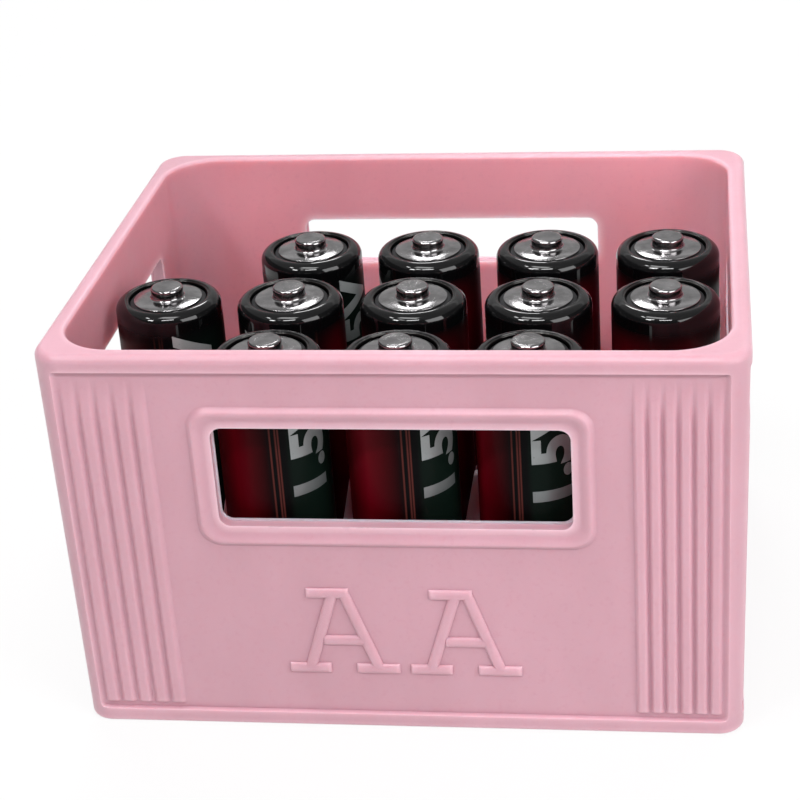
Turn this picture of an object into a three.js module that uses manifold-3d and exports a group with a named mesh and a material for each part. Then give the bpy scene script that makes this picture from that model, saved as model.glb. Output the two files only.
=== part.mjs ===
// A battery box shaped like a small bottle crate, with round cells standing upright in its grid.
// Millimetres, +Z up. The origin is the middle of the underside.
// The long face with the deep window looks along -Y.

import * as THREE from 'three';
import { mergeVertices } from 'three/addons/utils/BufferGeometryUtils.js';
import Module from 'manifold-3d';

const wasm = await Module();
wasm.setup();

// Counts
const columnCount = 5;
const rowCount = 4;
const leftRibCount = 5;
const rightRibCount = 6;
const shortFaceRibCount = 3;
const cornerSteps = 5;
const roundSteps = 3;
const jacketSides = 18;
const trimSides = 12;

// Cell, measured over its whole length from the negative plate to the top of the nub
const cellDiameter = 14.5;
const cellLength = 50.5;
const nubDiameter = 4.4;
const nubHeight = 1.5;
const nubRound = 0.3;
const capDiameter = 9.4;
const capThickness = 0.3;
const capRound = 0.1;
const mouthDiameter = 10.8;
const shoulderRound = 1.5;
const heelRound = 0.8;
const washerThickness = 0.4;
const washerBore = 3.2;
const plateThickness = 0.5;
const plateProud = 0.3;
const plateRound = 0.3;
const cellGap = 0.2;

// Crate
const cellRoom = 2.5;
const floorThickness = 2;
const wallThickness = 2.5;
const rimAboveCells = 2.7;
const draft = 0.6;
const outerCorner = 4;
const innerCorner = 7.5;
const edgeRound = 0.5;
const floorFillet = 0.9;
const pieceGap = 0.3;
const overrun = 1;

// Sunk panel in each face, between the rim band, the base band and the plain corners
const panelDepth = 0.6;
const panelStep = 0.3;
const panelSideStep = 0.5;
const panelCorner = 0.6;
const rimBandHeight = 2.2;
const baseBandHeight = 2.1;
const plainCorner = 3.3;

// Windows and the raised bead round each
const rimToWindow = 10.2;
const longWindowWidth = 45.6;
const shortWindowWidth = 39;
const deepWindowHeight = 13.2;
const handWindowHeight = 7.2;
const windowCorner = 1.5;
const beadWidth = 3.1;
const beadCorner = 3;
const beadProud = 0.6;
const beadRoundWidth = 1;
const lipWidth = 0.8;
const lipProud = 0.2;

// Upright ribs beside the windows, in a group at each end of a face
const longRibGroup = 11.4;
const shortRibGroup = 6.8;
const ribGap = 0.2;
const ribProud = 0.5;
const ribFootGap = 0.7;
const ribHeadGap = 0.9;
const ribFootFade = 0.5;
const ribHeadFade = 1.8;
const ribSink = 0.1;

// Slotted divider strips
const stripThickness = 1.4;
const stripHeight = 17.2;
const spikeHeight = 9.3;
const spikeFootWidth = 4.4;
const spikeTipWidth = 0.8;
const spikeFillet = 1.2;

// Places worked out from the sizes above
const cellPitch = cellDiameter + cellRoom;
const boxWidth = columnCount * cellPitch + 2 * wallThickness;
const boxDepth = rowCount * cellPitch + 2 * wallThickness;
const cellSeat = floorThickness + pieceGap;
const boxHeight = cellSeat + cellLength + rimAboveCells;
const cellTop = cellLength - nubHeight;
const windowTop = boxHeight - rimToWindow;
const lean = Math.atan(draft / boxHeight);

// Which columns of each row hold a cell, row a at the front
const loadedColumns = { a: [2, 3, 4], b: [1, 2, 3, 4, 5], c: [2, 3, 4, 5] };

const crateColour = 0xd9a5b4;
const jacketColour = 0x3a060c;
const steelColour = 0xb9bcc0;
const washerColour = 0x111113;

function finish(color, roughness, metalness) {
  return new THREE.MeshStandardMaterial({ color, roughness, metalness });
}

function part(name, geometry, material) {
  const mesh = new THREE.Mesh(geometry, material);
  mesh.name = name;
  return mesh;
}

// Solids that can be joined and cut

function toSolid(geometry) {
  const bare = geometry.clone();
  bare.deleteAttribute('normal');
  bare.deleteAttribute('uv');
  const merged = mergeVertices(bare);
  const mesh = new wasm.Mesh({
    numProp: 3,
    vertProperties: Float32Array.from(merged.attributes.position.array),
    triVerts: Uint32Array.from(merged.index.array),
  });
  return new wasm.Manifold(mesh);
}

function toGeometry(solid) {
  const mesh = solid.getMesh();
  const geometry = new THREE.BufferGeometry();
  geometry.setAttribute('position', new THREE.BufferAttribute(mesh.vertProperties, mesh.numProp));
  geometry.setIndex(new THREE.BufferAttribute(mesh.triVerts, 1));
  geometry.computeVertexNormals();
  return geometry;
}

// Outlines

function arc(centreX, centreY, radius, from, to, steps) {
  const points = [];
  for (let i = 0; i <= steps; i += 1) {
    const angle = from + ((to - from) * i) / steps;
    points.push(new THREE.Vector2(centreX + radius * Math.cos(angle), centreY + radius * Math.sin(angle)));
  }
  return points;
}

function roundedRectangle(width, height, radius, steps) {
  const x = width / 2 - radius;
  const y = height / 2 - radius;
  const quarter = Math.PI / 2;
  return [
    ...arc(x, y, radius, 0, quarter, steps),
    ...arc(-x, y, radius, quarter, 2 * quarter, steps),
    ...arc(-x, -y, radius, 2 * quarter, 3 * quarter, steps),
    ...arc(x, -y, radius, 3 * quarter, 4 * quarter, steps),
  ];
}

// Crate shell: one skin that climbs the outside, turns over the rim and goes down to the floor

function ring(z, inset, radius) {
  const outline = roundedRectangle(boxWidth - 2 * inset, boxDepth - 2 * inset, radius, cornerSteps);
  return outline.map((point) => new THREE.Vector3(point.x, point.y, z));
}

// Quarter turns of an edge, as pairs of a height above its start and an inset
function edgeTurn(radius) {
  return arc(radius, 0, radius, Math.PI, Math.PI / 2, roundSteps);
}

function outerRings() {
  const rings = [];
  for (const turn of edgeTurn(edgeRound).reverse()) {
    const inset = draft + turn.x;
    rings.push(ring(edgeRound - turn.y, inset, outerCorner - inset));
  }
  for (const turn of edgeTurn(edgeRound)) {
    rings.push(ring(boxHeight - edgeRound + turn.y, turn.x, outerCorner - turn.x));
  }
  return rings;
}

function innerRings() {
  const rings = [];
  for (const turn of edgeTurn(edgeRound).reverse()) {
    rings.push(ring(boxHeight - edgeRound + turn.y, wallThickness - turn.x, innerCorner + turn.x));
  }
  const footInset = wallThickness + draft;
  for (const turn of edgeTurn(floorFillet)) {
    const inset = footInset + turn.x;
    rings.push(ring(floorThickness + floorFillet - turn.y, inset, innerCorner - draft - turn.x));
  }
  return rings;
}

function closeRing(index, first, count, centre, upward) {
  for (let i = 0; i < count; i += 1) {
    const here = first + i;
    const next = first + ((i + 1) % count);
    if (upward) {
      index.push(centre, here, next);
    } else {
      index.push(centre, next, here);
    }
  }
}

function centreOf(points) {
  const sum = points.reduce((total, point) => total.add(point), new THREE.Vector3());
  return sum.divideScalar(points.length);
}

// A skin through rings of equally many points, closed at both ends or back into itself
function loft(rings, looped = false) {
  const count = rings[0].length;
  const points = rings.flat();
  const index = [];
  const spans = looped ? rings.length : rings.length - 1;
  for (let level = 0; level < spans; level += 1) {
    const lower = level * count;
    const upper = ((level + 1) % rings.length) * count;
    for (let i = 0; i < count; i += 1) {
      const next = (i + 1) % count;
      index.push(lower + i, lower + next, upper + next);
      index.push(lower + i, upper + next, upper + i);
    }
  }
  if (!looped) {
    const lastRing = rings[rings.length - 1];
    points.push(centreOf(rings[0]), centreOf(lastRing));
    closeRing(index, 0, count, points.length - 2, false);
    closeRing(index, (rings.length - 1) * count, count, points.length - 1, true);
  }
  const geometry = new THREE.BufferGeometry().setFromPoints(points);
  geometry.setIndex(index);
  return geometry;
}

// What a face carries is drawn with x along the face, y up and z outward, then set on its leaning panel

const longFace = {
  half: boxDepth / 2,
  width: boxWidth,
  windowWidth: longWindowWidth,
  ribGroup: longRibGroup,
  leftRibs: leftRibCount,
  rightRibs: rightRibCount,
};
const shortFace = {
  half: boxWidth / 2,
  width: boxDepth,
  windowWidth: shortWindowWidth,
  ribGroup: shortRibGroup,
  leftRibs: shortFaceRibCount,
  rightRibs: shortFaceRibCount,
};
const faces = [
  { ...longFace, windowHeight: deepWindowHeight, turn: 0 },
  { ...shortFace, windowHeight: handWindowHeight, turn: Math.PI / 2 },
  { ...longFace, windowHeight: handWindowHeight, turn: Math.PI },
  { ...shortFace, windowHeight: handWindowHeight, turn: -Math.PI / 2 },
];

function onFace(geometry, face) {
  const panelFoot = face.half - draft - panelDepth;
  geometry.rotateX(Math.PI / 2 + lean);
  geometry.translate(0, -panelFoot, 0);
  geometry.rotateZ(face.turn);
  return toSolid(geometry);
}

// The outline of a panel's recess, widened by a reach at its sides and another at its foot and head
function panelRing(face, height, sideReach, endReach) {
  const foot = baseBandHeight + panelStep;
  const head = boxHeight - rimBandHeight - panelStep;
  const width = face.width - 2 * plainCorner + 2 * sideReach;
  const tall = head - foot + 2 * endReach;
  const outline = roundedRectangle(width, tall, panelCorner, roundSteps - 1);
  return outline.map((point) => new THREE.Vector3(point.x, point.y + (foot + head) / 2, height));
}

function panelCutter(face) {
  const rings = [
    panelRing(face, 0, 0, 0),
    panelRing(face, panelDepth, panelSideStep, panelStep),
    panelRing(face, panelDepth + overrun, panelSideStep, panelStep),
  ];
  return onFace(loft(rings), face);
}

// The outline of a window, widened all round by a margin, at a height over the panel
function windowRing(face, margin, height) {
  const radius = windowCorner + (margin / beadWidth) * (beadCorner - windowCorner);
  const width = face.windowWidth + 2 * margin;
  const tall = face.windowHeight + 2 * margin;
  const middle = windowTop - face.windowHeight / 2;
  const outline = roundedRectangle(width, tall, radius, roundSteps);
  return outline.map((point) => new THREE.Vector3(point.x, point.y + middle, height));
}

function windowCutter(face) {
  const reach = wallThickness + overrun;
  return onFace(loft([windowRing(face, 0, -reach), windowRing(face, 0, reach)]), face);
}

// A bead round the window, full at its outer edge, that falls inward to a low lip round the opening
function windowBead(face) {
  const crest = beadWidth - beadRoundWidth;
  const turn = arc(0, 0, 1, 0, Math.PI / 2, roundSteps - 1);
  const section = [
    [beadWidth, -panelDepth],
    ...turn.map((point) => [crest + beadRoundWidth * point.x, beadProud * point.y]),
    [lipWidth, lipProud],
    [-lipWidth, lipProud],
    [-lipWidth, -panelDepth],
  ];
  const rings = section.map(([margin, height]) => windowRing(face, margin, height));
  return onFace(loft(rings, true), face);
}

// The section of a rib, from its left root over its crown to its right root
function ribSection(x, y, halfWidth, proud) {
  const crown = arc(0, 0, 1, Math.PI, 0, 2 * (roundSteps - 1));
  const outline = [
    [-halfWidth, -panelDepth],
    ...crown.map((point) => [halfWidth * point.x, proud * point.y]),
    [halfWidth, -panelDepth],
  ];
  return outline.map(([across, height]) => new THREE.Vector3(x + across, y, height));
}

// A rib that runs into the panel at its foot and, more gently, at its head
function rib(face, x, pitch) {
  const halfWidth = (pitch - ribGap) / 2;
  const foot = baseBandHeight + panelStep + ribFootGap;
  const head = boxHeight - rimBandHeight - panelStep - ribHeadGap;
  const stations = [
    [foot, -ribSink],
    [foot + ribFootFade, ribProud],
    [head - ribHeadFade, ribProud],
    [head, -ribSink],
  ];
  const rings = stations.map(([y, proud]) => ribSection(x, y, halfWidth, proud));
  return onFace(loft(rings), face);
}

function ribs(face) {
  const outer = face.width / 2 - plainCorner;
  const groups = [[face.leftRibs, -1], [face.rightRibs, 1]];
  const solids = [];
  for (const [count, side] of groups) {
    const pitch = face.ribGroup / count;
    for (let i = 0; i < count; i += 1) {
      solids.push(rib(face, side * (outer - (i + 0.5) * pitch), pitch));
    }
  }
  return solids;
}

function crateShell() {
  let shell = toSolid(loft([...outerRings(), ...innerRings()]));
  for (const face of faces) {
    shell = shell.subtract(panelCutter(face));
  }
  for (const face of faces) {
    shell = shell.add(windowBead(face));
    for (const solid of ribs(face)) {
      shell = shell.add(solid);
    }
  }
  for (const face of faces) {
    shell = shell.subtract(windowCutter(face));
  }
  return part('crate_shell', toGeometry(shell.simplify()), finish(crateColour, 0.45, 0));
}

// Divider: long strips drop over cross strips, each slotted for half its height

const slotWidth = stripThickness + 2 * pieceGap;
const slotHeight = stripHeight / 2 + pieceGap / 2;

function lines(count) {
  return Array.from({ length: count - 1 }, (unused, i) => (i + 1 - count / 2) * cellPitch);
}

function slotUnder(shape, x) {
  shape.lineTo(x - slotWidth / 2, 0);
  shape.lineTo(x - slotWidth / 2, slotHeight);
  shape.lineTo(x + slotWidth / 2, slotHeight);
  shape.lineTo(x + slotWidth / 2, 0);
}

function slotAbove(shape, x) {
  const foot = stripHeight - slotHeight;
  shape.lineTo(x + slotWidth / 2, stripHeight);
  shape.lineTo(x + slotWidth / 2, foot);
  shape.lineTo(x - slotWidth / 2, foot);
  shape.lineTo(x - slotWidth / 2, stripHeight);
}

// A tapering guide over each crossing, drawn from its right foot to its left
function spike(shape, x) {
  const foot = spikeFootWidth / 2;
  const tip = spikeTipWidth / 2;
  const slope = (foot - tip) / spikeHeight;
  const neck = foot - slope * spikeFillet;
  const top = stripHeight + spikeHeight;
  shape.lineTo(x + foot + spikeFillet, stripHeight);
  shape.quadraticCurveTo(x + foot, stripHeight, x + neck, stripHeight + spikeFillet);
  shape.lineTo(x + tip, top - tip);
  shape.quadraticCurveTo(x + tip, top, x, top);
  shape.quadraticCurveTo(x - tip, top, x - tip, top - tip);
  shape.lineTo(x - neck, stripHeight + spikeFillet);
  shape.quadraticCurveTo(x - foot, stripHeight, x - foot - spikeFillet, stripHeight);
}

function stripShape(length, underEdge, upperEdge, crossings) {
  const shape = new THREE.Shape();
  shape.moveTo(-length / 2, 0);
  if (underEdge) {
    crossings.forEach((x) => underEdge(shape, x));
  }
  shape.lineTo(length / 2, 0);
  shape.lineTo(length / 2, stripHeight);
  [...crossings].reverse().forEach((x) => upperEdge(shape, x));
  shape.lineTo(-length / 2, stripHeight);
  shape.closePath();
  return shape;
}

function stripGeometry(shape) {
  const settings = { depth: stripThickness, bevelEnabled: false, curveSegments: roundSteps };
  const geometry = new THREE.ExtrudeGeometry(shape, settings);
  geometry.translate(0, 0, -stripThickness / 2);
  geometry.rotateX(Math.PI / 2);
  return geometry;
}

function dividerStrips() {
  const group = new THREE.Group();
  group.position.z = cellSeat;
  const loss = 2 * (wallThickness + draft + pieceGap);
  const longShape = stripShape(boxWidth - loss, slotUnder, spike, lines(columnCount));
  const crossShape = stripShape(boxDepth - loss, null, slotAbove, lines(rowCount));
  lines(rowCount).forEach((y, i) => {
    const mesh = part(`divider_long_${i + 1}`, stripGeometry(longShape), finish(crateColour, 0.5, 0));
    mesh.position.y = y;
    group.add(mesh);
  });
  lines(columnCount).forEach((x, i) => {
    const mesh = part(`divider_cross_${i + 1}`, stripGeometry(crossShape), finish(crateColour, 0.5, 0));
    mesh.position.x = x;
    mesh.rotation.z = Math.PI / 2;
    group.add(mesh);
  });
  return group;
}

// Cells: every piece is turned about the upright axis, from its lowest point to its highest

function turned(points, sides) {
  const profile = points.map(([radius, z]) => new THREE.Vector2(radius, z));
  const geometry = new THREE.LatheGeometry(profile, sides);
  geometry.rotateX(Math.PI / 2);
  return geometry;
}

// Printed jacket with its filling, recessed at both ends
function jacketGeometry() {
  const body = cellDiameter / 2;
  const mouth = mouthDiameter / 2;
  const lowRecess = plateThickness + cellGap;
  const highRecess = cellTop - capThickness - washerThickness - 2 * cellGap;
  const heel = arc(body - heelRound, plateProud + heelRound, heelRound, -Math.PI / 2, 0, roundSteps - 1);
  const shoulderFoot = cellTop - shoulderRound;
  const shoulder = arc(body - shoulderRound, shoulderFoot, shoulderRound, 0, Math.PI / 2, roundSteps);
  const points = [
    [0, lowRecess],
    [mouth, lowRecess],
    [mouth, plateProud],
    ...heel.map((point) => [point.x, point.y]),
    ...shoulder.map((point) => [point.x, point.y]),
    [mouth, cellTop],
    [mouth, highRecess],
    [0, highRecess],
  ];
  return turned(points, jacketSides);
}

// Sealing washer under the cap
function washerGeometry() {
  const outer = mouthDiameter / 2 - cellGap;
  const inner = washerBore / 2;
  const top = cellTop - capThickness - cellGap;
  const foot = top - washerThickness;
  return turned([[inner, foot], [outer, foot], [outer, top], [inner, top], [inner, foot]], trimSides);
}

// Positive cap, a pressed disc with the nub in its middle
function capGeometry() {
  const disc = capDiameter / 2;
  const nub = nubDiameter / 2;
  const points = [
    [0, cellTop - capThickness],
    [disc, cellTop - capThickness],
    [disc, cellTop - capRound],
    [disc - capRound, cellTop],
    [nub + nubRound, cellTop],
    [nub, cellTop + nubRound],
    [nub, cellLength - nubRound],
    [nub - nubRound, cellLength],
    [0, cellLength],
  ];
  return turned(points, trimSides);
}

// Negative plate, which stands a little proud of the jacket
function plateGeometry() {
  const outer = mouthDiameter / 2 - cellGap;
  const points = [
    [0, 0],
    [outer - plateRound, 0],
    [outer, plateRound],
    [outer, plateThickness],
    [0, plateThickness],
  ];
  return turned(points, trimSides);
}

function cell(name, x, y) {
  const group = new THREE.Group();
  group.position.set(x, y, cellSeat);
  group.add(
    part(`${name}_jacket`, jacketGeometry(), finish(jacketColour, 0.25, 0.3)),
    part(`${name}_washer`, washerGeometry(), finish(washerColour, 0.6, 0)),
    part(`${name}_cap`, capGeometry(), finish(steelColour, 0.25, 1)),
    part(`${name}_plate`, plateGeometry(), finish(steelColour, 0.3, 1)),
  );
  return group;
}

function cells() {
  const group = new THREE.Group();
  Object.entries(loadedColumns).forEach(([row, loaded], rowIndex) => {
    const y = (rowIndex + 0.5 - rowCount / 2) * cellPitch;
    for (const column of loaded) {
      const x = (column - 0.5 - columnCount / 2) * cellPitch;
      group.add(cell(`battery_${row}${column}`, x, y));
    }
  });
  return group;
}

const batteryBox = new THREE.Group();
batteryBox.add(crateShell(), dividerStrips(), cells());

export default batteryBox;
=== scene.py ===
import math

import bmesh
import bpy
from mathutils import Matrix, Vector


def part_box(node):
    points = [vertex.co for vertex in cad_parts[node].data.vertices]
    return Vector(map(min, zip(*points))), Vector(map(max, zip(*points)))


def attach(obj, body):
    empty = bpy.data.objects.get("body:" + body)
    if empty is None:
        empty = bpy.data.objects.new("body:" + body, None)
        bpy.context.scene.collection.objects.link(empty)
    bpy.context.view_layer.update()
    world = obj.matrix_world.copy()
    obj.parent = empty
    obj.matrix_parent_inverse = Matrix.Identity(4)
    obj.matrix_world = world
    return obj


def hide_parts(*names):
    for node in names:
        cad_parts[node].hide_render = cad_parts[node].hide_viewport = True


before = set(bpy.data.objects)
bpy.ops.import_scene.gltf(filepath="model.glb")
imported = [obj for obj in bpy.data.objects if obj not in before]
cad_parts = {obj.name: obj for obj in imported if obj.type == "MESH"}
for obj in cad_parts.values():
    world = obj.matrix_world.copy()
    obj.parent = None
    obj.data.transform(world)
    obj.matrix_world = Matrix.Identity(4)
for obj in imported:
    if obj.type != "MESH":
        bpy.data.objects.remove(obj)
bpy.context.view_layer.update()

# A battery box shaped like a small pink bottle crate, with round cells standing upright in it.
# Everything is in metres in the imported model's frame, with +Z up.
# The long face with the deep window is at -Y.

# Crate: outer sizes from the frame, and wall, floor, draft and roundings as moulded
shell_low, shell_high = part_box("crate_shell")
WIDTH = shell_high.x - shell_low.x
DEPTH = shell_high.y - shell_low.y
HEIGHT = shell_high.z - shell_low.z
WALL = 0.0025
FLOOR = 0.002
DRAFT = 0.0006
OUTER_CORNER = 0.004
INNER_CORNER = 0.0075
BASE_ROUND = 0.0006
RIM_ROUND = 0.0011
MOUTH_ROUND = 0.0005
FLOOR_FILLET = 0.0009
STRIP_EDGE = 0.0002
RING_REACH = 0.002
CORNER_STEPS = 16
TURN_STEPS = 8

# Sunk panel in each face, with edges that curve up to the bands and to the plain corners.
# The cutter's slope ends a little above the band's surface, at PANEL_BREAK times the depth.
PANEL_DEPTH = 0.0006
PANEL_STEP = 0.0002
PANEL_SIDE_STEP = 0.0013
PANEL_CORNER = 0.0006
PANEL_BREAK = 1.04
RIM_BAND = 0.0022
BASE_BAND = 0.0021
PLAIN_CORNER = 0.0033
PANEL_FOOT = BASE_BAND + PANEL_STEP
PANEL_HEAD = HEIGHT - RIM_BAND - PANEL_STEP

# Windows and the raised bead round each, which falls to a narrow lip at the opening
RIM_TO_WINDOW = 0.0102
WINDOW_TOP = HEIGHT - RIM_TO_WINDOW
LONG_WINDOW = 0.0456
SHORT_WINDOW = 0.039
DEEP_WINDOW = 0.0143
HAND_WINDOW = 0.0072
WINDOW_CORNER = 0.0015
BEAD_REACH = 0.0031
BEAD_CORNER = 0.003
BEAD_PROUD = 0.0006
BEAD_SLOPE = 0.0009
LIP_WIDTH = 0.0008
LIP_PROUD = 0.0002
OPENING_ROUND = 0.00025

# Ribs, in a group at each side of a panel, with heads that fade into the panel
LONG_RIB_GROUP = 0.0114
SHORT_RIB_GROUP = 0.0068
RIB_PROUD = 0.0005
RIB_FOOT = 0.0030
RIB_FADE = 0.008
RIB_END = 0.0006
VALLEY_SHARPNESS = 3.2
RIB_STEPS = 18

# How deep raised bodies root in the wall, how far their sides start below its face, how far
# cutters run past it, and the play allowed when faces are sorted by their place
ROOT = 0.0005
SINK = 0.00001
OVERRUN = 0.001
SKIN_ROOM = 0.0001

# Edges over these angles stay sharp on the crate and the cells, and are softened on the strips
CRATE_CREASE = math.radians(35)
CELL_CREASE = math.radians(50)
STRIP_CREASE = math.radians(50)

# Cell size mark on the front. Places along the letter are from its middle.
STROKE = 0.0015
STROKE_PROUD = 0.00048
STROKE_FULLNESS = 2.2
STROKE_END = 0.0004
LETTER_FOOT = 0.0092
LETTER_TOP = 0.0209
LETTER_BAR = 0.0136
LETTER_OFFSET = 0.0081
HEAD_SERIF = (-0.0044, 0.0013)
LEFT_SERIF = (-0.0074, -0.0018)
RIGHT_SERIF = (0.0016, 0.0074)
CROSSBAR = (-0.0026, 0.0031)
LEFT_LEG = (-0.0046, -0.0009)
RIGHT_LEG = (0.0046, 0.0006)

# Cell: heights are from its foot, which is the face of the negative plate
CELL_LENGTH = 0.0505
CELL_TOP = 0.049
BODY_RADIUS = 0.00725
MOUTH_RADIUS = 0.0054
POLE_RADIUS = 0.0004
CELL_SIDES = 96

# Jacket: film over steel, rolled in to a flat core at both ends
SHOULDER = 0.0015
FILM_RADIUS = 0.0057
FILM_EDGE = 0.00005
FILM_GAP = 0.00003
FILM_DROP = 0.00012
MOUTH_DROP = 0.0001
MOUTH_EDGE = 0.00015
CORE_STEP = 0.0004
CORE_FOOT = 0.0007
CORE_TOP = 0.0479
HEEL = 0.0008
HEEL_REST = 0.0003
HEEL_EDGE = 0.0001

# Washer, cap and plate, which stand clear of the mouth by MOUTH_PLAY
MOUTH_PLAY = 0.0002
WASHER_HOLE = 0.0016
WASHER_FOOT = 0.0481
WASHER_TOP = 0.0485
WASHER_EDGE = 0.00008
CAP_RADIUS = 0.0047
CAP_EDGE = 0.0001
CAP_THICKNESS = 0.0003
CAP_FALL = 0.00018
NUB_RADIUS = 0.0022
NUB_FILLET = 0.00035
NUB_SINK = 0.00004
CROWN_EDGE = 0.0004
CROWN_RIM = 0.0009
CROWN_DISH = 0.00003
PLATE_DISH = 0.00006
PLATE_DISH_RADIUS = 0.0030
PLATE_DISH_SLOPE = 0.0002
PLATE_EDGE = 0.0003
PLATE_TOP = 0.0005

# How far the printed lines of each cell are turned from the front, in degrees. Labels that the
# photograph shows are turned as they are there, and the others are free.
LABEL_TURNS = {
    "battery_a2": 17, "battery_a3": 17, "battery_a4": -7,
    "battery_b1": 4, "battery_b2": -60, "battery_b3": 140, "battery_b4": -130, "battery_b5": 75,
    "battery_c2": 30, "battery_c3": -95, "battery_c4": 160, "battery_c5": -20,
}

# Printed words that run up each cell, turned from its printed lines, with their middle at a height
MARK_WORDS = "1.5V"
MARK_TURN = math.radians(36)
MARK_HEIGHT = 0.0375
MARK_SIZE = 0.0074
MARK_STRETCH = 1.2
MARK_WEIGHT = 0.04
MARK_LIFT = 0.00003
MARK_COLUMNS = 20


# Meshes

def shown(name, bm):
    """Makes an object in the scene of a finished bmesh, which it frees."""
    mesh = bpy.data.meshes.new(name)
    bm.to_mesh(mesh)
    bm.free()
    made = bpy.data.objects.new(name, mesh)
    bpy.context.scene.collection.objects.link(made)
    return made


def smooth(piece):
    """Shades the crate smoothly, led by its large faces."""
    piece.data.shade_smooth()
    piece.data.set_sharp_from_angle(angle=CRATE_CREASE)
    weighted = piece.modifiers.new("weighted", "WEIGHTED_NORMAL")
    weighted.keep_sharp = True
    return piece


def arc(centre, radius, start, end, steps):
    """Points of a flat arc, with its angles in degrees."""
    points = []
    for i in range(steps + 1):
        angle = math.radians(start + (end - start) * i / steps)
        points.append((centre[0] + radius * math.cos(angle), centre[1] + radius * math.sin(angle)))
    return points


def rounded(corners, steps):
    """Turns an open line of corners, each with a radius, into points with arcs at the corners."""
    points = [corners[0][:2]]
    for before, (x, y, radius), after in zip(corners, corners[1:], corners[2:]):
        here = Vector((x, y))
        back = (Vector(before[:2]) - here).normalized()
        ahead = (Vector(after[:2]) - here).normalized()
        half = back.angle(ahead) / 2
        centre = here + (back + ahead).normalized() * radius / math.sin(half)
        start = here + back * radius / math.tan(half) - centre
        end = here + ahead * radius / math.tan(half) - centre
        for i in range(steps + 1):
            ray = start.lerp(end, i / steps).normalized() * radius
            points.append(tuple(centre + ray))
    points.append(corners[-1][:2])
    return points


def rounded_rectangle(width, height, radius, steps):
    """Outline about the origin, counterclockwise."""
    x = width / 2 - radius
    y = height / 2 - radius
    outline = []
    for start, cx, cy in ((0, x, y), (90, -x, y), (180, -x, -y), (270, x, -y)):
        outline += arc((cx, cy), radius, start, start + 90, steps)
    return outline


def skin(bm, rings, looped=False):
    """Adds a closed body through rings of equally many points, capped unless it loops."""
    verts = [[bm.verts.new(point) for point in ring] for ring in rings]
    pairs = list(zip(verts, verts[1:]))
    if looped:
        pairs.append((verts[-1], verts[0]))
    else:
        bm.faces.new(list(reversed(verts[0])))
        bm.faces.new(verts[-1])
    for lower, upper in pairs:
        for i in range(len(lower)):
            j = (i + 1) % len(lower)
            bm.faces.new((lower[i], lower[j], upper[j], upper[i]))


def combine(target, bm, operation):
    """Joins or cuts a solid with the closed bodies of a bmesh."""
    bmesh.ops.recalc_face_normals(bm, faces=bm.faces)
    tool = shown("tool", bm)
    modifier = target.modifiers.new(operation, "BOOLEAN")
    modifier.operation = operation
    modifier.solver = "MANIFOLD"
    modifier.object = tool
    bpy.context.view_layer.update()
    depsgraph = bpy.context.evaluated_depsgraph_get()
    result = bpy.data.meshes.new_from_object(target.evaluated_get(depsgraph))
    target.modifiers.clear()
    target.data = result
    bpy.data.objects.remove(tool)


# Crate

def crate_ring(inset, z, radius):
    """The rounded outline of the crate at a height, set in from its widest."""
    outline = rounded_rectangle(WIDTH - 2 * inset, DEPTH - 2 * inset, radius, CORNER_STEPS)
    return [(x, y, z) for x, y in outline]


def crate_rings():
    """The skin of the crate from under the floor, up the outside, over the rim and down to the floor."""
    outside = rounded([
        (DRAFT + RING_REACH, 0, 0),
        (DRAFT, 0, BASE_ROUND),
        (0, HEIGHT, RIM_ROUND),
        (RING_REACH, HEIGHT, 0),
    ], TURN_STEPS)[:-1]
    inside = rounded([
        (WALL - RING_REACH, HEIGHT, 0),
        (WALL, HEIGHT, MOUTH_ROUND),
        (WALL + DRAFT, FLOOR, FLOOR_FILLET),
        (WALL + DRAFT + RING_REACH, FLOOR, 0),
    ], TURN_STEPS)[1:]
    rings = [crate_ring(inset, z, OUTER_CORNER - inset) for inset, z in outside]
    rings += [crate_ring(inset, z, INNER_CORNER + WALL - inset) for inset, z in inside]
    return rings


# A face carries its window, bead and ribs with x along it, y up and z outward, on its leaning panel

LONG_FACE = {"half": DEPTH / 2, "width": WIDTH, "group": LONG_RIB_GROUP, "ribs": (5, 6)}
SHORT_FACE = {"half": WIDTH / 2, "width": DEPTH, "group": SHORT_RIB_GROUP, "ribs": (3, 3)}
FACES = [
    {**LONG_FACE, "window": (LONG_WINDOW, DEEP_WINDOW), "turn": 0},
    {**SHORT_FACE, "window": (SHORT_WINDOW, HAND_WINDOW), "turn": 90},
    {**LONG_FACE, "window": (LONG_WINDOW, HAND_WINDOW), "turn": 180},
    {**SHORT_FACE, "window": (SHORT_WINDOW, HAND_WINDOW), "turn": 270},
]


def on_panel(face):
    """Places what is drawn on a face on that side of the crate."""
    turn = Matrix.Rotation(math.radians(face["turn"]), 4, "Z")
    out = Matrix.Translation((0, DRAFT + PANEL_DEPTH - face["half"], 0))
    stand = Matrix.Rotation(math.pi / 2 + math.atan(DRAFT / HEIGHT), 4, "X")
    return turn @ out @ stand


def eased(start, end):
    """Points of a slope that leaves one level and joins the next without an edge."""
    points = []
    for i in range(2 * TURN_STEPS + 1):
        share = i / (2 * TURN_STEPS)
        ease = (1 - math.cos(math.pi * share)) / 2
        points.append((start[0] + (end[0] - start[0]) * share, start[1] + (end[1] - start[1]) * ease))
    return points


def panel_ring(face, reach, z):
    """The outline of a panel's recess, opened by a share of the reach of its sloping edges."""
    width = face["width"] - 2 * PLAIN_CORNER + 2 * reach * PANEL_SIDE_STEP
    tall = PANEL_HEAD - PANEL_FOOT + 2 * reach * PANEL_STEP
    outline = rounded_rectangle(width, tall, PANEL_CORNER, TURN_STEPS)
    middle = (PANEL_FOOT + PANEL_HEAD) / 2
    return [on_panel(face) @ Vector((x, y + middle, z)) for x, y in outline]


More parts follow.
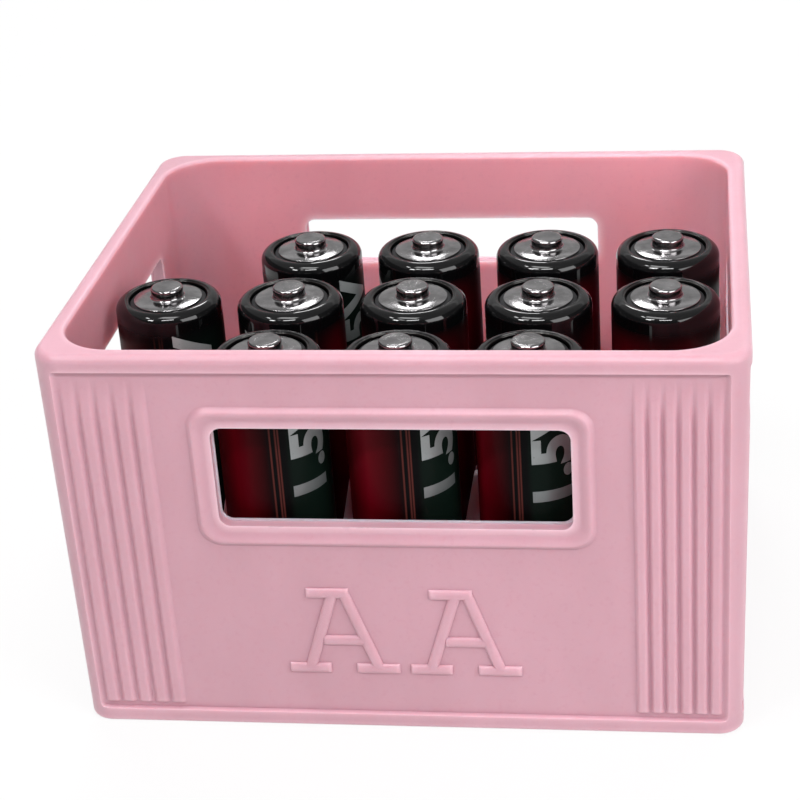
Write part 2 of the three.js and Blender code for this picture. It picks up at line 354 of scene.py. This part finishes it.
def add_panel(bm, face):
    """The cutter of a sunk panel, whose edges are hollow at the panel and rounded at the band."""
    slope = eased((0, 0), (1, PANEL_DEPTH * PANEL_BREAK))
    rings = [panel_ring(face, reach, z) for reach, z in slope]
    rings.append(panel_ring(face, 1, PANEL_DEPTH + OVERRUN))
    skin(bm, rings)


def window_ring(face, margin, z, radius):
    """The outline of a face's window, widened by a margin."""
    width, height = face["window"]
    outline = rounded_rectangle(width + 2 * margin, height + 2 * margin, radius, CORNER_STEPS)
    middle = WINDOW_TOP - height / 2
    return [on_panel(face) @ Vector((x, y + middle, z)) for x, y in outline]


def add_bead(bm, face):
    """A bead that rises softly from the panel and falls again to a narrow lip round the opening."""
    crest = BEAD_REACH - BEAD_SLOPE
    section = [(BEAD_REACH, -ROOT)]
    section += eased((BEAD_REACH, -SINK), (crest, BEAD_PROUD))
    section += eased((crest, BEAD_PROUD), (LIP_WIDTH, LIP_PROUD))[1:]
    section += [(-ROOT, LIP_PROUD), (-ROOT, -ROOT)]
    growth = (BEAD_CORNER - WINDOW_CORNER) / BEAD_REACH
    rings = [window_ring(face, margin, z, WINDOW_CORNER + growth * margin) for margin, z in section]
    skin(bm, rings, looped=True)


def add_window(bm, face):
    """The cutter of an opening, flared where it meets the outer and the inner face of the wall."""
    turn = OPENING_ROUND
    back = PANEL_DEPTH - WALL
    section = [(turn, back - OVERRUN)]
    section += [(turn - x, back + y) for x, y in arc((0, 0), turn, 0, 90, TURN_STEPS // 2)]
    section += [(turn - x, LIP_PROUD - y) for x, y in arc((0, 0), turn, 90, 0, TURN_STEPS // 2)]
    section.append((turn, LIP_PROUD + OVERRUN))
    skin(bm, [window_ring(face, margin, z, WINDOW_CORNER + margin) for margin, z in section])


def round_end(reach):
    """How far a bar has risen at places from its end, where it ends in a rounded nose."""
    rise = []
    for i in range(TURN_STEPS + 1):
        angle = math.pi / 2 * i / TURN_STEPS
        rise.append((reach * (1 - math.cos(angle)), math.sin(angle)))
    return rise


def add_bar(bm, place, ends, section, proud, rises):
    """A raised bar on a panel, between two points. Its section gives places across it and shares of
    its height, and the rises give shares of its height at places from each end."""
    start, end = Vector(ends[0]), Vector(ends[1])
    length = (end - start).length
    along = (end - start) / length
    across = Vector((along.y, -along.x))
    stations = list(rises[0])
    stations += [(length - at, up) for at, up in reversed(rises[1])]
    rings = []
    for at, rise in stations:
        middle = start + along * at
        ring = [(section[0][0], -ROOT)]
        ring += [(x, proud * rise * share - SINK) for x, share in section]
        ring.append((section[-1][0], -ROOT))
        points = [(middle + across * x, z) for x, z in ring]
        rings.append([place @ Vector((point.x, point.y, z)) for point, z in points])
    skin(bm, rings)


def stroke_section(width, fullness):
    """A crown between a half ellipse, at 2, and a bar with rounded edges above that."""
    section = []
    for i in range(2 * TURN_STEPS + 1):
        angle = math.pi * i / (2 * TURN_STEPS)
        side = math.copysign(abs(math.cos(angle)) ** (2 / fullness), math.cos(angle))
        section.append((width / 2 * side, math.sin(angle) ** (2 / fullness)))
    return section


def ribbed_section(width, count):
    """Broad round ribs side by side with soft valleys between them."""
    section = []
    for i in range(count * RIB_STEPS + 1):
        share = i / RIB_STEPS
        valley = (1 + math.cos(2 * math.pi * share)) / 2
        section.append((width * (0.5 - share / count), 1 - valley ** VALLEY_SHARPNESS))
    return section


def add_ribs(bm, face):
    """The two groups of ribs on a face."""
    place = on_panel(face)
    for count, side in zip(face["ribs"], (-1, 1)):
        width = face["group"]
        x = side * (face["width"] / 2 - PLAIN_CORNER - width / 2)
        section = ribbed_section(width, count)
        rises = (round_end(RIB_END), eased((0, 0), (RIB_FADE, 1)))
        add_bar(bm, place, ((x, RIB_FOOT), (x, PANEL_HEAD)), section, RIB_PROUD, rises)


def letter_strokes(x):
    """The strokes of a slab letter A about x, in three sets that don't touch within a set."""
    bars = [(HEAD_SERIF, LETTER_TOP), (LEFT_SERIF, LETTER_FOOT)]
    bars += [(RIGHT_SERIF, LETTER_FOOT), (CROSSBAR, LETTER_BAR)]
    level = [((x + left, y), (x + right, y)) for (left, right), y in bars]
    left_leg, right_leg = [
        [((x + foot, LETTER_FOOT), (x + head, LETTER_TOP))]
        for foot, head in (LEFT_LEG, RIGHT_LEG)
    ]
    return level, left_leg, right_leg


def add_strokes(bm, strokes):
    """Raised strokes of letters on the front."""
    place = on_panel(FACES[0])
    for start, end in strokes:
        section = stroke_section(STROKE, STROKE_FULLNESS)
        rises = (round_end(STROKE_END), round_end(STROKE_END))
        add_bar(bm, place, (start, end), section, STROKE_PROUD, rises)


def make_crate():
    """A plain shell, sunk by the panels. Its raised forms follow, and the windows are cut last."""
    bm = bmesh.new()
    skin(bm, crate_rings())
    bmesh.ops.recalc_face_normals(bm, faces=bm.faces)
    crate = shown("crate", bm)
    recesses = bmesh.new()
    for face in FACES:
        add_panel(recesses, face)
    combine(crate, recesses, "DIFFERENCE")
    added = bmesh.new()
    for face in FACES:
        add_bead(added, face)
        add_ribs(added, face)
    combine(crate, added, "UNION")
    for first, second in zip(letter_strokes(-LETTER_OFFSET), letter_strokes(LETTER_OFFSET)):
        strokes = bmesh.new()
        add_strokes(strokes, first + second)
        combine(crate, strokes, "UNION")
    cutters = bmesh.new()
    for face in FACES:
        add_window(cutters, face)
    combine(crate, cutters, "DIFFERENCE")
    return smooth(crate)


def paint_crate(crate, outside, inside):
    """Gives the faces inside the walls, below the rim, a material of their own: the lit copy of the
    plastic.
    """
    crate.data.materials.clear()
    crate.data.materials.append(outside)
    crate.data.materials.append(inside)
    for face in crate.data.polygons:
        x, y, z = face.center
        within = abs(x) < WIDTH / 2 - WALL + SKIN_ROOM and abs(y) < DEPTH / 2 - WALL + SKIN_ROOM
        below_rim = FLOOR - SKIN_ROOM < z < HEIGHT - MOUTH_ROUND / 2
        face.material_index = 1 if within and below_rim else 0


def finish_strip(strip, material):
    """Gives a divider strip its material and softened edges. Its mesh stays as it is."""
    strip.data.materials.clear()
    strip.data.materials.append(material)
    bevel = strip.modifiers.new("edge", "BEVEL")
    bevel.width = STRIP_EDGE
    bevel.segments = 3
    bevel.limit_method = "ANGLE"
    bevel.angle_limit = STRIP_CREASE
    bevel.harden_normals = True
    strip.data.shade_smooth()


# Cells

def turned(name, profile, centre, turn, looped=False, slots=None):
    """A body turned about an upright axis. Its map has u round the axis and v up the cell."""
    bm = bmesh.new()
    uv = bm.loops.layers.uv.new("UVMap")
    rings = []
    for radius, z in profile:
        ring = []
        for i in range(CELL_SIDES):
            angle = turn + 2 * math.pi * (i / CELL_SIDES - 0.5) - math.pi / 2
            spoke = Vector((math.cos(angle), math.sin(angle), 0)) * radius
            ring.append(bm.verts.new(centre + spoke + Vector((0, 0, z))))
        rings.append(ring)
    levels = list(range(len(profile)))
    pairs = list(zip(levels, levels[1:])) + ([(levels[-1], 0)] if looped else [])
    for low, high in pairs:
        for i in range(CELL_SIDES):
            j = (i + 1) % CELL_SIDES
            face = bm.faces.new((rings[low][i], rings[low][j], rings[high][j], rings[high][i]))
            for loop, column, level in zip(face.loops, (i, i + 1, i + 1, i), (low, low, high, high)):
                loop[uv].uv = (column / CELL_SIDES, profile[level][1] / CELL_LENGTH)
            face.material_index = slots[low] if slots else 0
    if not looped:
        bm.faces.new(list(reversed(rings[0])))
        bm.faces.new(rings[-1])
    made = shown(name, bm)
    made.data.shade_smooth()
    made.data.set_sharp_from_angle(angle=CELL_CREASE)
    return made


def jacket_profile():
    """Printed film from under the heel to over the shoulder, then the rolled steel mouth."""
    core = MOUTH_RADIUS - CORE_STEP
    heel_inside = HEEL_REST + HEEL_EDGE
    film = [(core, CORE_FOOT), (MOUTH_RADIUS, CORE_FOOT), (MOUTH_RADIUS, heel_inside)]
    film += arc((MOUTH_RADIUS + HEEL_EDGE, heel_inside), HEEL_EDGE, 180, 270, 3)
    film += arc((BODY_RADIUS - HEEL, HEEL_REST + HEEL), HEEL, 270, 360, 8)
    film += arc((BODY_RADIUS - SHOULDER, CELL_TOP - SHOULDER), SHOULDER, 0, 84, 14)
    film += [(FILM_RADIUS + FILM_EDGE, CELL_TOP), (FILM_RADIUS, CELL_TOP - FILM_EDGE)]
    steel = [(FILM_RADIUS - FILM_GAP, CELL_TOP - FILM_DROP)]
    steel += arc((MOUTH_RADIUS + MOUTH_EDGE, CELL_TOP - MOUTH_DROP - MOUTH_EDGE), MOUTH_EDGE, 90, 180, 5)
    steel += [(MOUTH_RADIUS, CORE_TOP), (core, CORE_TOP)]
    slots = [0] * (len(film) - 1) + [1] * (len(steel) + 1)
    return film + steel, slots


def washer_profile():
    """A flat ring with a broken outer edge, round the cap's stem."""
    outer = MOUTH_RADIUS - MOUTH_PLAY
    return [
        (WASHER_HOLE, WASHER_FOOT),
        (outer, WASHER_FOOT),
        (outer, WASHER_TOP - WASHER_EDGE),
        (outer - WASHER_EDGE, WASHER_TOP),
        (WASHER_HOLE, WASHER_TOP),
    ]


def cap_profile():
    """A pressed disc that rises slightly to a nub with a round foot and crown."""
    edge = CELL_TOP - CAP_FALL
    foot = CELL_TOP - NUB_SINK
    crown = CELL_LENGTH - CROWN_DISH
    profile = [(CAP_RADIUS - CORE_STEP, edge - CAP_THICKNESS)]
    profile += [(CAP_RADIUS - CAP_EDGE / 2, edge - CAP_THICKNESS)]
    profile += arc((CAP_RADIUS - CAP_EDGE, edge - CAP_EDGE), CAP_EDGE, 0, 80, 4)
    profile += [(NUB_RADIUS + 2 * NUB_FILLET, foot)]
    fillet = arc((0, 0), NUB_FILLET, 90, 0, 6)
    profile += [(NUB_RADIUS + NUB_FILLET - x, foot + NUB_FILLET - y) for x, y in fillet]
    profile += arc((NUB_RADIUS - CROWN_EDGE, CELL_LENGTH - CROWN_EDGE), CROWN_EDGE, 0, 90, 7)
    profile += [(NUB_RADIUS - CROWN_RIM, crown), (POLE_RADIUS, crown)]
    return profile


def plate_profile():
    """A flat plate with a shallow dish in the middle of its underside."""
    outer = MOUTH_RADIUS - MOUTH_PLAY
    profile = [(POLE_RADIUS, PLATE_DISH), (PLATE_DISH_RADIUS, PLATE_DISH)]
    profile += [(PLATE_DISH_RADIUS + PLATE_DISH_SLOPE, 0)]
    profile += arc((outer - PLATE_EDGE, PLATE_EDGE), PLATE_EDGE, 270, 360, 6)
    profile += [(outer, PLATE_TOP), (outer - CORE_STEP, PLATE_TOP)]
    return profile


def flat_mark(words, size):
    """Printed words as flat faces, cut into narrow columns so that they can wrap round a cell."""
    curve = bpy.data.curves.new("mark", "FONT")
    curve.body = words
    curve.size = size
    curve.offset = size * MARK_WEIGHT
    curve.align_x = "CENTER"
    curve.align_y = "CENTER"
    text = bpy.data.objects.new("mark", curve)
    bpy.context.scene.collection.objects.link(text)
    bpy.context.view_layer.update()
    mesh = bpy.data.meshes.new_from_object(text.evaluated_get(bpy.context.evaluated_depsgraph_get()))
    bpy.data.objects.remove(text)
    bm = bmesh.new()
    bm.from_mesh(mesh)
    bmesh.ops.scale(bm, vec=(MARK_STRETCH, 1, 1), verts=bm.verts)
    for i in range(1, MARK_COLUMNS):
        cut = Vector((0, size / 2 * (2 * i / MARK_COLUMNS - 1), 0))
        geometry = bm.verts[:] + bm.edges[:] + bm.faces[:]
        bmesh.ops.bisect_plane(bm, geom=geometry, plane_co=cut, plane_no=(0, 1, 0), dist=1e-7)
    bm.verts.index_update()
    return bm


def add_mark(piece, mark, centre, turn, height):
    """Wraps the flat words round a cell, running up it, and joins them to its jacket."""
    bm = bmesh.new()
    bm.from_mesh(piece.data)
    uv = bm.loops.layers.uv.active
    copies = {}
    for vert in mark.verts:
        angle = turn - math.pi / 2 - vert.co.y / BODY_RADIUS
        spoke = Vector((math.cos(angle), math.sin(angle), 0)) * (BODY_RADIUS + MARK_LIFT)
        copies[vert.index] = bm.verts.new(centre + spoke + Vector((0, 0, height + vert.co.x)))
    for face in mark.faces:
        made = bm.faces.new([copies[vert.index] for vert in face.verts])
        made.material_index = 2
        made.smooth = True
        for loop, vert in zip(made.loops, face.verts):
            loop[uv].uv = (0.5, (height + vert.co.x) / CELL_LENGTH)
    bm.to_mesh(piece.data)
    bm.free()


# Materials

def srgb(red, green, blue):
    """A colour as seen on a screen, from 0 to 255, as the linear values that shaders take."""
    linear = []
    for value in (red, green, blue):
        share = value / 255
        linear.append(share / 12.92 if share <= 0.04045 else ((share + 0.055) / 1.055) ** 2.4)
    return (*linear, 1)


class Surface:
    """A node material, with short calls for the nodes that it is made of. Distances are in metres,
    noise scales are in waves per metre, and colours are linear."""

    def __init__(self, name, **settings):
        self.material = bpy.data.materials.new(name)
        self.material.use_nodes = True
        self.tree = self.material.node_tree
        self.shader = self.tree.nodes["Principled BSDF"]
        for socket, value in settings.items():
            self.shader.inputs[socket.replace("_", " ")].default_value = value

    def node(self, kind, inputs, **settings):
        made = self.tree.nodes.new("ShaderNode" + kind)
        for name, value in settings.items():
            setattr(made, name, value)
        for socket, value in inputs.items():
            if isinstance(value, bpy.types.NodeSocket):
                self.tree.links.new(value, made.inputs[socket])
            else:
                made.inputs[socket].default_value = value
        return made

    def place(self, kind="Object"):
        return self.node("TexCoord", {}).outputs[kind]

    def stretch(self, vector, scale):
        return self.node("Mapping", {"Vector": vector, "Scale": scale}).outputs["Vector"]

    def noise(self, vector, scale, detail=3.0, roughness=0.5):
        inputs = {"Vector": vector, "Scale": scale, "Detail": detail, "Roughness": roughness}
        return self.node("TexNoise", inputs).outputs["Fac"]

    def math(self, operation, first, second):
        return self.node("Math", {0: first, 1: second}, operation=operation).outputs[0]

    def spread(self, value, low, high, to_low, to_high):
        inputs = {"Value": value, "From Min": low, "From Max": high, "To Min": to_low, "To Max": to_high}
        return self.node("MapRange", inputs).outputs["Result"]

    def ramp(self, value, stops):
        made = self.node("ValToRGB", {"Fac": value})
        while len(made.color_ramp.elements) < len(stops):
            made.color_ramp.elements.new(1)
        for element, (position, colour) in zip(made.color_ramp.elements, stops):
            element.position = position
            element.color = colour
        return made.outputs["Color"]

    def mix(self, share, first, second):
        inputs = {0: share, 6: first, 7: second}
        return self.node("Mix", inputs, data_type="RGBA").outputs[2]

    def bump(self, height, distance, strength, below=None):
        inputs = {"Height": height, "Distance": distance, "Strength": strength}
        if below is not None:
            inputs["Normal"] = below
        return self.node("Bump", inputs).outputs["Normal"]

    def openness(self, distance, inside=False):
        """1 on open faces and less in hollows. From inside the body, it is less along ridges instead."""
        settings = {"samples": 6, "inside": inside, "only_local": True}
        return self.node("AmbientOcclusion", {"Distance": distance}, **settings).outputs["AO"]

    def feed(self, socket, value):
        self.tree.links.new(value, self.shader.inputs[socket])


def pink_plastic(name, depth, spread_colour, low, high):
    """Satin moulded polypropylene, mottled from low to high, lit to a depth below its face. It has
    painted shade in its hollows and painted highlights on its crests and edges, and has a fine mould
    grain."""
    surface = Surface(
        name, Subsurface_Weight=0.7, Subsurface_Scale=depth,
        Subsurface_Radius=spread_colour, Specular_IOR_Level=0.5,
    )
    place = surface.place()
    flow = surface.noise(surface.stretch(place, (1, 1, 0.35)), 70, 4, 0.55)
    colour = surface.ramp(flow, [(0.3, low), (0.7, high)])
    speck = surface.noise(place, 1400, 2, 0.6)
    colour = surface.mix(surface.spread(speck, 0.55, 0.75, 0, 0.25), colour, srgb(192, 136, 150))
    # Painted shade: the colour darkens in hollows, creases and the valleys between the ribs.
    hollow = surface.spread(surface.openness(0.0012), 0.9, 0.4, 0, 0.55)
    colour = surface.mix(hollow, colour, srgb(172, 110, 128))
    # Painted highlights: crests and edges are paler. The edge mask also makes the edges a little
    # glossier.
    crest = surface.spread(surface.openness(0.0012, inside=True), 0.92, 0.6, 0, 0.45)
    wear_and_edge_highlight = surface.spread(surface.openness(0.0005, inside=True), 0.76, 0.46, 0, 0.6)
    colour = surface.mix(surface.math("MAXIMUM", crest, wear_and_edge_highlight), colour, srgb(238, 200, 211))
    surface.feed("Base Color", colour)
    sheen = surface.spread(surface.noise(place, 220, 3, 0.6), 0.3, 0.7, 0.30, 0.38)
    surface.feed("Roughness", surface.math("SUBTRACT", sheen, surface.math("MULTIPLY", wear_and_edge_highlight, 0.08)))
    grain = surface.bump(surface.noise(place, 3200, 2, 0.5), 0.00001, 0.5)
    waves = surface.bump(surface.noise(place, 120, 2, 0.4), 0.00006, 0.5, grain)
    surface.feed("Normal", waves)
    return surface.material


def label_stops():
    """Colours round the label, from its back seam: red, thin copper lines, the broad dark band, red. The
    bright and deep reds are painted highlight and painted shade round the cell.
    """
    # The bright red is a painted highlight and the deep red a painted shade, in bands round the label.
    red, deep, bright = srgb(56, 1, 6), srgb(28, 1, 3), srgb(92, 1, 15)
    copper, night = srgb(84, 40, 36), srgb(6, 5, 6)
    green, pale_green = srgb(10, 20, 16), srgb(14, 27, 22)
    half, faded = 0.48, 0.5
    turns = [(-180, deep), (-120, bright), (-75, red), (-48, bright), (-26, red), (-14, deep)]
    for line in (-8.5, -2.6, 0):
        turns += [(line - faded, night), (line - half, copper)]
        turns += [(line + half, copper), (line + faded, night)]
    turns += [(6, night), (12, green), (55, pale_green), (80, green), (96, night)]
    turns += [(98, copper), (99, copper), (99.1, deep), (130, bright), (155, red), (180, deep)]
    return [(turn / 360 + 0.5, colour) for turn, colour in turns]


def printed_film():
    """Satin printed film, red with a dark band, and glossy black over the shoulder and heel. The black
    band at the shoulder is print, and its long fade into the red below it is painted shade.
    """
    surface = Surface("printed_film", Specular_IOR_Level=0.04, Coat_Roughness=0.03)
    across = surface.node("SeparateXYZ", {"Vector": surface.place("UV")}).outputs
    colour = surface.ramp(across["X"], label_stops())
    # The shoulder's black band is print. Its long fade down into the red is painted shade.
    shoulder = surface.spread(across["Y"], 0.80, 0.92, 0, 1)
    heel = surface.spread(across["Y"], 0.052, 0.047, 0, 1)
    ends = surface.math("MAXIMUM", shoulder, heel)
    colour = surface.mix(ends, colour, srgb(4, 4, 5))
    place = surface.place()
    streaks = surface.noise(surface.stretch(place, (1, 1, 0.3)), 900, 5, 0.7)
    rubbed = surface.spread(streaks, 0.66, 0.82, 0, 0.2)
    colour = surface.mix(rubbed, colour, srgb(60, 40, 42))
    surface.feed("Base Color", colour)
    surface.feed("Roughness", surface.spread(surface.noise(place, 260, 4, 0.6), 0.3, 0.7, 0.38, 0.50))
    surface.feed("Coat Weight", surface.spread(across["Y"], 0.90, 0.93, 0.02, 0.8))
    surface.feed("Normal", surface.bump(surface.noise(place, 260, 2, 0.5), 0.00001, 0.5))
    return surface.material


def mark_print():
    """Grey metallic ink, lighter towards the top of the cell and rubbed thin in places."""
    surface = Surface("mark_print", Metallic=0.3)
    place = surface.place()
    up = surface.node("SeparateXYZ", {"Vector": surface.place("UV")}).outputs["Y"]
    colour = surface.ramp(up, [(0.60, srgb(104, 110, 110)), (0.92, srgb(166, 170, 170))])
    wear_and_edge_highlight = surface.spread(surface.noise(place, 1500, 4, 0.7), 0.6, 0.75, 0, 0.5)
    surface.feed("Base Color", surface.mix(wear_and_edge_highlight, colour, srgb(70, 76, 74)))
    surface.feed("Roughness", surface.spread(surface.noise(place, 500), 0.3, 0.7, 0.28, 0.42))
    return surface.material


def bare_steel(name, dark, light, roughness):
    """Plated sheet steel with fine handling scratches and dull patches."""
    surface = Surface(name, Metallic=1.0)
    place = surface.place()
    patch = surface.noise(place, 420, 4, 0.6)
    colour = surface.ramp(patch, [(0.3, dark), (0.7, light)])
    scratch = surface.noise(surface.stretch(place, (1, 7, 1)), 1600, 3, 0.7)
    surface.feed("Base Color", surface.mix(surface.spread(scratch, 0.6, 0.8, 0, 0.35), colour, dark))
    surface.feed("Roughness", surface.spread(patch, 0.3, 0.7, roughness - 0.06, roughness + 0.08))
    surface.feed("Normal", surface.bump(scratch, 0.000012, 0.5))
    return surface.material


def sealing_plastic():
    """Dull black nylon."""
    surface = Surface("sealing_plastic")
    place = surface.place()
    tone = surface.noise(place, 800, 4, 0.6)
    colour = surface.ramp(tone, [(0.3, srgb(17, 17, 19)), (0.7, srgb(31, 30, 33))])
    surface.feed("Base Color", colour)
    surface.feed("Roughness", surface.spread(surface.noise(place, 500), 0.3, 0.7, 0.45, 0.65))
    surface.feed("Normal", surface.bump(surface.noise(place, 2600), 0.00001, 0.5))
    return surface.material


def pale_floor():
    """A pale floor that glows, so that it is even and nearly white."""
    surface = Surface(
        "pale_floor", Roughness=0.9,
        Emission_Color=(1, 1, 1, 1), Emission_Strength=0.84,
    )
    tone = surface.noise(surface.place(), 3, 2, 0.5)
    surface.feed("Base Color", surface.ramp(tone, [(0, srgb(88, 88, 88)), (1, srgb(92, 92, 92))]))
    return surface.material


# The object

# Light goes deeper into the inner faces than into the outer ones, and comes back redder. The inner
# faces and the dividers take this copy of the plastic, with its own redder colour, so that the inside
# of the box glows as if lit through the walls: a lit copy of the one plastic, and painted light.
pink = pink_plastic(
    "pink_plastic", 0.0008, (1, 0.75, 0.7),
    srgb(195, 149, 161), srgb(204, 157, 170),
)
painted_glow_pink = pink_plastic(
    "pink_plastic_inside_painted_glow", 0.004, (1, 0.4, 0.35),
    srgb(205, 145, 157), srgb(213, 153, 165),
)
film = printed_film()
rolled_steel = bare_steel("rolled_steel", srgb(58, 57, 57), srgb(80, 79, 78), 0.14)
plated_steel = bare_steel("plated_steel", srgb(140, 138, 139), srgb(172, 170, 171), 0.11)
seal = sealing_plastic()
ink = mark_print()

crate = make_crate()
paint_crate(crate, pink, painted_glow_pink)
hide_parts("crate_shell")
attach(crate, "crate")

# The dividers take the lit copy of the plastic too, with its painted glow.
for name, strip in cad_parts.items():
    if name.startswith("divider_"):
        finish_strip(strip, painted_glow_pink)


def dress_cell(cell, mark):
    """Builds the four pieces of one cell in place of its nodes."""
    low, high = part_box(cell + "_jacket")
    plate_low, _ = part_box(cell + "_plate")
    centre = Vector(((low.x + high.x) / 2, (low.y + high.y) / 2, plate_low.z))
    turn = math.radians(LABEL_TURNS[cell])
    profile, slots = jacket_profile()
    jacket = turned(cell + "_label", profile, centre, turn, slots=slots)
    add_mark(jacket, mark, centre, turn + MARK_TURN, MARK_HEIGHT)
    for material in (film, rolled_steel, ink):
        jacket.data.materials.append(material)
    washer = turned(cell + "_seal", washer_profile(), centre, turn, looped=True)
    washer.data.materials.append(seal)
    cap = turned(cell + "_terminal", cap_profile(), centre, turn)
    cap.data.materials.append(plated_steel)
    plate = turned(cell + "_base", plate_profile(), centre, turn)
    plate.data.materials.append(plated_steel)
    dressed = {
        "jacket": (jacket, "printed_steel"), "washer": (washer, "sealing_plastic"),
        "cap": (cap, "plated_steel"), "plate": (plate, "plated_steel"),
    }
    for node, (piece, slot) in dressed.items():
        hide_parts(f"{cell}_{node}")
        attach(piece, cell)


mark = flat_mark(MARK_WORDS, MARK_SIZE)
for cell in LABEL_TURNS:
    dress_cell(cell, mark)
mark.free()

# Floor and light. Powers are in watts.

FLOOR_REACH = 4.0
MIDDLE = (0, 0, HEIGHT / 2)
ground = bmesh.new()
bmesh.ops.create_grid(ground, x_segments=4, y_segments=4, size=FLOOR_REACH)
floor = shown("floor", ground)
floor.data.materials.append(pale_floor())


def soft_light(name, place, size, power, aim=MIDDLE, spread=180, mirrored=True):
    """A lamp that the camera doesn't see. It may have a narrow beam, or stay out of mirror images."""
    lamp = bpy.data.lights.new(name, "AREA")
    lamp.shape = "RECTANGLE"
    lamp.size, lamp.size_y = size
    lamp.energy = power
    lamp.spread = math.radians(spread)
    made = bpy.data.objects.new(name, lamp)
    made.location = place
    made.rotation_euler = (Vector(aim) - Vector(place)).to_track_quat("-Z", "Y").to_euler()
    made.visible_camera = False
    made.visible_glossy = mirrored
    bpy.context.scene.collection.objects.link(made)


# Three small lamps draw the white dashes on the glossy shoulders
soft_light("key", (-0.45, -0.55, 0.75), (0.17, 0.1), 2.2)
soft_light("front", (0.04, -0.55, 0.72), (0.32, 0.07), 2.3)
soft_light("side", (-0.42, -0.16, 0.78), (0.12, 0.05), 0.6)

# One from the right models the ribs, and two large ones light the rim and the cells from above
soft_light("fill", (0.30, -0.22, 0.20), (0.25, 0.25), 1.0)
soft_light("top", (0, 0.15, 0.8), (1.8, 1.6), 2.9)
soft_light("rear", (0, 0.65, 0.75), (1.2, 0.5), 5.4, mirrored=False)

# The steel caps mirror these two: the first as a bright spot and the second as an even grey
soft_light("streak", (-0.08, 0.53, 0.48), (0.10, 0.09), 0.42)
soft_light("backdrop", (0, 1.1, 0.45), (2.0, 0.8), 1.9)

# The last two shine on the inner face of the back wall, and on its right end once more
soft_light("opening", (-0.02, -0.07, 0.28), (0.12, 0.06), 0.18, aim=(0.03, 0.034, 0.045))
soft_light("corner", (-0.04, -0.10, 0.20), (0.04, 0.04), 0.0034, aim=(0.038, 0.034, 0.045), spread=26)

world = bpy.data.worlds.new("studio")
world.use_nodes = True
surroundings = world.node_tree.nodes["Background"]
surroundings.inputs["Color"].default_value = (1, 1, 1, 1)
surroundings.inputs["Strength"].default_value = 0.1
bpy.context.scene.world = world
bpy.context.scene.view_settings.view_transform = "Standard"

# The camera was fitted to the corners of the crate and the tops of the cells in the photograph.
# Its angles are in degrees: to the left of +Y, above the level and about its own axis.
CAMERA_PLACE = (0.039126, -0.257333, 0.162726)
CAMERA_YAW = 7.954
CAMERA_PITCH = -25.561
CAMERA_ROLL = -3.372
FOCAL_LENGTH = 91.56
CAMERA_SHIFT = (-0.0602, -0.0582)

camera_data = bpy.data.cameras.new("camera")
camera_data.sensor_width = 36
camera_data.lens = FOCAL_LENGTH
camera_data.shift_x, camera_data.shift_y = CAMERA_SHIFT
camera_data.clip_start = 0.01
camera_data.clip_end = 20
camera = bpy.data.objects.new("camera", camera_data)
heading = Matrix.Rotation(math.radians(CAMERA_YAW), 4, "Z")
tilt = Matrix.Rotation(math.radians(90 + CAMERA_PITCH), 4, "X")
roll = Matrix.Rotation(math.radians(CAMERA_ROLL), 4, "Z")
camera.matrix_world = Matrix.Translation(CAMERA_PLACE) @ heading @ tilt @ roll
bpy.context.scene.collection.objects.link(camera)
bpy.context.scene.camera = camera
